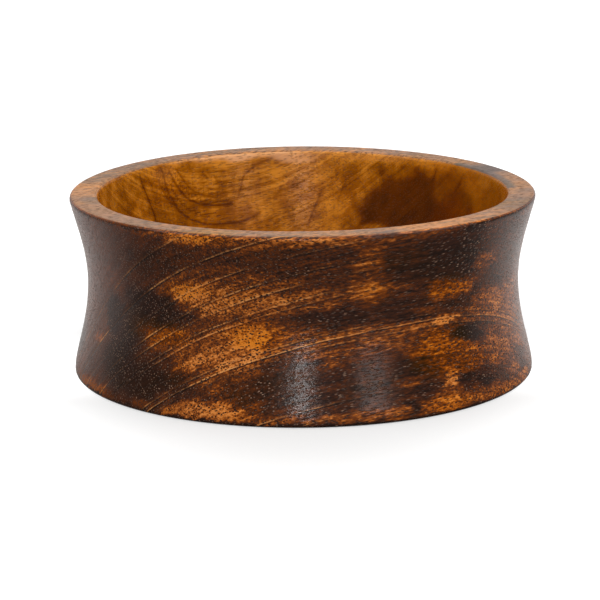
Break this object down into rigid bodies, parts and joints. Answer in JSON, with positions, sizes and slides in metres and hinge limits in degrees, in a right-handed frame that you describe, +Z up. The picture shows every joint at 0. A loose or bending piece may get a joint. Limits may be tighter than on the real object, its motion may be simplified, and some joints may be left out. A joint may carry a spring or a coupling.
{
  "type": "salad bowl",
  "caption": "Lathe-turned wooden salad bowl with a waisted wall, a flat rim, a rounded hollow and a level foot ring.",
  "frame": {"origin": "centre of the ring that the bowl stands on, in the plane of the table", "axes": "+Z up along the turning axis out of the mouth; the pictured side faces -Y, +X is to its right"},
  "size_m": [0.254, 0.254, 0.1],
  "materials": {
    "wood": "scorched and oiled to a satin sheen outside, honey-coloured inside"
  },
  "bodies": {
    "root": {"bowl_body": "wood"}
  },
  "joints": []
}
